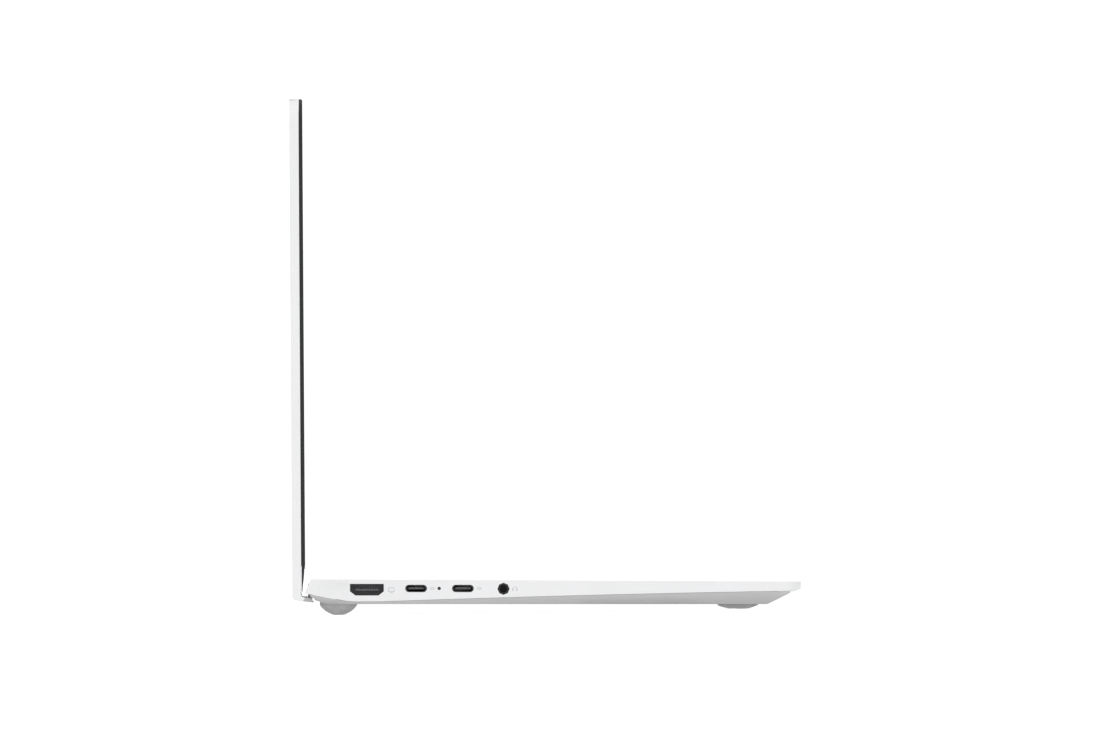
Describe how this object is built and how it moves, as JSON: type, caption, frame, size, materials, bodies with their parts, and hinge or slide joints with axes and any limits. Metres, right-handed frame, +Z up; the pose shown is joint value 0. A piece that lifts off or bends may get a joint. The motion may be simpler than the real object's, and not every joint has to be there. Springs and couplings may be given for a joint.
{
  "type": "laptop computer",
  "caption": "Slim white clamshell laptop with a bezelled display that folds on a drop hinge over a keyboard and touchpad.",
  "frame": {"origin": "on the floor, under the middle of the box round the open laptop", "axes": "+X to the user's right, +Y towards the back, +Z up"},
  "size_m": [0.3134, 0.2174, 0.2208],
  "materials": {
    "white_shell": "satin",
    "underside": "satin",
    "keycap": "matte",
    "touchpad_surface": "satin",
    "bezel": "matte",
    "display": "satin",
    "dark_plastic": "matte",
    "battery_wrap": "matte",
    "circuit_board": "satin",
    "copper": "satin",
    "steel": "satin",
    "light_guide": "gloss",
    "foot_rubber": "matte"
  },
  "bodies": {
    "base": {"top_case": "white_shell", "bottom_cover": "underside", "fan_housing": "dark_plastic", "headphone_jack": "dark_plastic", "speaker_left": "dark_plastic", "speaker_right": "dark_plastic", "battery_pack": "battery_wrap", "mainboard": "circuit_board", "storage_drive": "circuit_board", "wireless_card": "circuit_board", "io_board": "circuit_board", "heat_pipe": "copper", "heat_sink": "copper", "video_receptacle": "steel", "usb_c_receptacle_rear": "steel", "usb_c_receptacle_front": "steel", "usb_a_receptacle_rear": "steel", "usb_a_receptacle_front": "steel", "card_slot": "steel", "keyboard_support": "steel", "hinge_bracket_left": "steel", "hinge_bracket_right": "steel", "hinge_pin_left": "steel", "hinge_pin_right": "steel", "cover_screw_rear_left": "steel", "cover_screw_rear_middle": "steel", "cover_screw_rear_right": "steel", "cover_screw_side_left": "steel", "cover_screw_side_right": "steel", "cover_screw_front_left": "steel", "cover_screw_front_right": "steel", "charge_light_guide": "light_guide", "rear_foot_left": "foot_rubber", "rear_foot_right": "foot_rubber", "front_foot_left": "foot_rubber", "front_foot_right": "foot_rubber"},
    "function_keys": {"function_keys": "keycap"},
    "number_keys": {"number_keys": "keycap"},
    "upper_letter_keys": {"upper_letter_keys": "keycap"},
    "home_letter_keys": {"home_letter_keys": "keycap"},
    "lower_letter_keys": {"lower_letter_keys": "keycap"},
    "modifier_keys": {"modifier_keys": "keycap"},
    "space_bar": {"space_bar": "keycap"},
    "arrow_keys": {"arrow_keys": "keycap"},
    "power_button": {"power_button": "keycap"},
    "touchpad": {"touchpad": "touchpad_surface"},
    "fan": {"fan_rotor": "dark_plastic"},
    "lid": {"lid_shell": "white_shell", "display_bezel": "bezel", "display_panel": "display", "camera_module": "dark_plastic", "display_cable": "dark_plastic", "hinge_arm_left": "steel", "hinge_arm_right": "steel"}
  },
  "joints": [
    {"name": "lid_hinge", "type": "hinge", "parent": "base", "child": "lid", "pos_m": [0, 0.09955, 0.01203], "axis": [-1, 0, 0], "range_deg": [-90.6, 40]},
    {"name": "function_keys_press", "type": "slide", "parent": "base", "child": "function_keys", "axis": [0, 0.0199, -0.9998], "range_m": [0, 0.0012], "stiffness_N_per_m": 500, "springref_m": -0.0012},
    {"name": "number_keys_press", "type": "slide", "parent": "base", "child": "number_keys", "axis": [0, 0.0199, -0.9998], "range_m": [0, 0.0012], "stiffness_N_per_m": 500, "springref_m": -0.0012},
    {"name": "upper_letter_keys_press", "type": "slide", "parent": "base", "child": "upper_letter_keys", "axis": [0, 0.0199, -0.9998], "range_m": [0, 0.0012], "stiffness_N_per_m": 500, "springref_m": -0.0012},
    {"name": "home_letter_keys_press", "type": "slide", "parent": "base", "child": "home_letter_keys", "axis": [0, 0.0199, -0.9998], "range_m": [0, 0.0012], "stiffness_N_per_m": 500, "springref_m": -0.0012},
    {"name": "lower_letter_keys_press", "type": "slide", "parent": "base", "child": "lower_letter_keys", "axis": [0, 0.0199, -0.9998], "range_m": [0, 0.0012], "stiffness_N_per_m": 500, "springref_m": -0.0012},
    {"name": "modifier_keys_press", "type": "slide", "parent": "base", "child": "modifier_keys", "axis": [0, 0.0199, -0.9998], "range_m": [0, 0.0012], "stiffness_N_per_m": 500, "springref_m": -0.0012},
    {"name": "space_bar_press", "type": "slide", "parent": "base", "child": "space_bar", "axis": [0, 0.0199, -0.9998], "range_m": [0, 0.0012], "stiffness_N_per_m": 500, "springref_m": -0.0012},
    {"name": "arrow_keys_press", "type": "slide", "parent": "base", "child": "arrow_keys", "axis": [0, 0.0199, -0.9998], "range_m": [0, 0.0012], "stiffness_N_per_m": 500, "springref_m": -0.0012},
    {"name": "power_press", "type": "slide", "parent": "base", "child": "power_button", "axis": [0, 0.0199, -0.9998], "range_m": [0, 0.0005], "stiffness_N_per_m": 600, "springref_m": -0.0006},
    {"name": "touchpad_click", "type": "hinge", "parent": "base", "child": "touchpad", "pos_m": [0, -0.03418, 0.01272], "axis": [1, 0, 0], "range_deg": [0, 0.35], "stiffness_Nm_per_rad": 10, "springref_deg": -0.34},
    {"name": "fan_spin", "type": "hinge", "parent": "base", "child": "fan", "pos_m": [0.07, 0.04791, 0.00734], "axis": [0, -0.0154, 0.9999], "continuous": true}
  ]
}
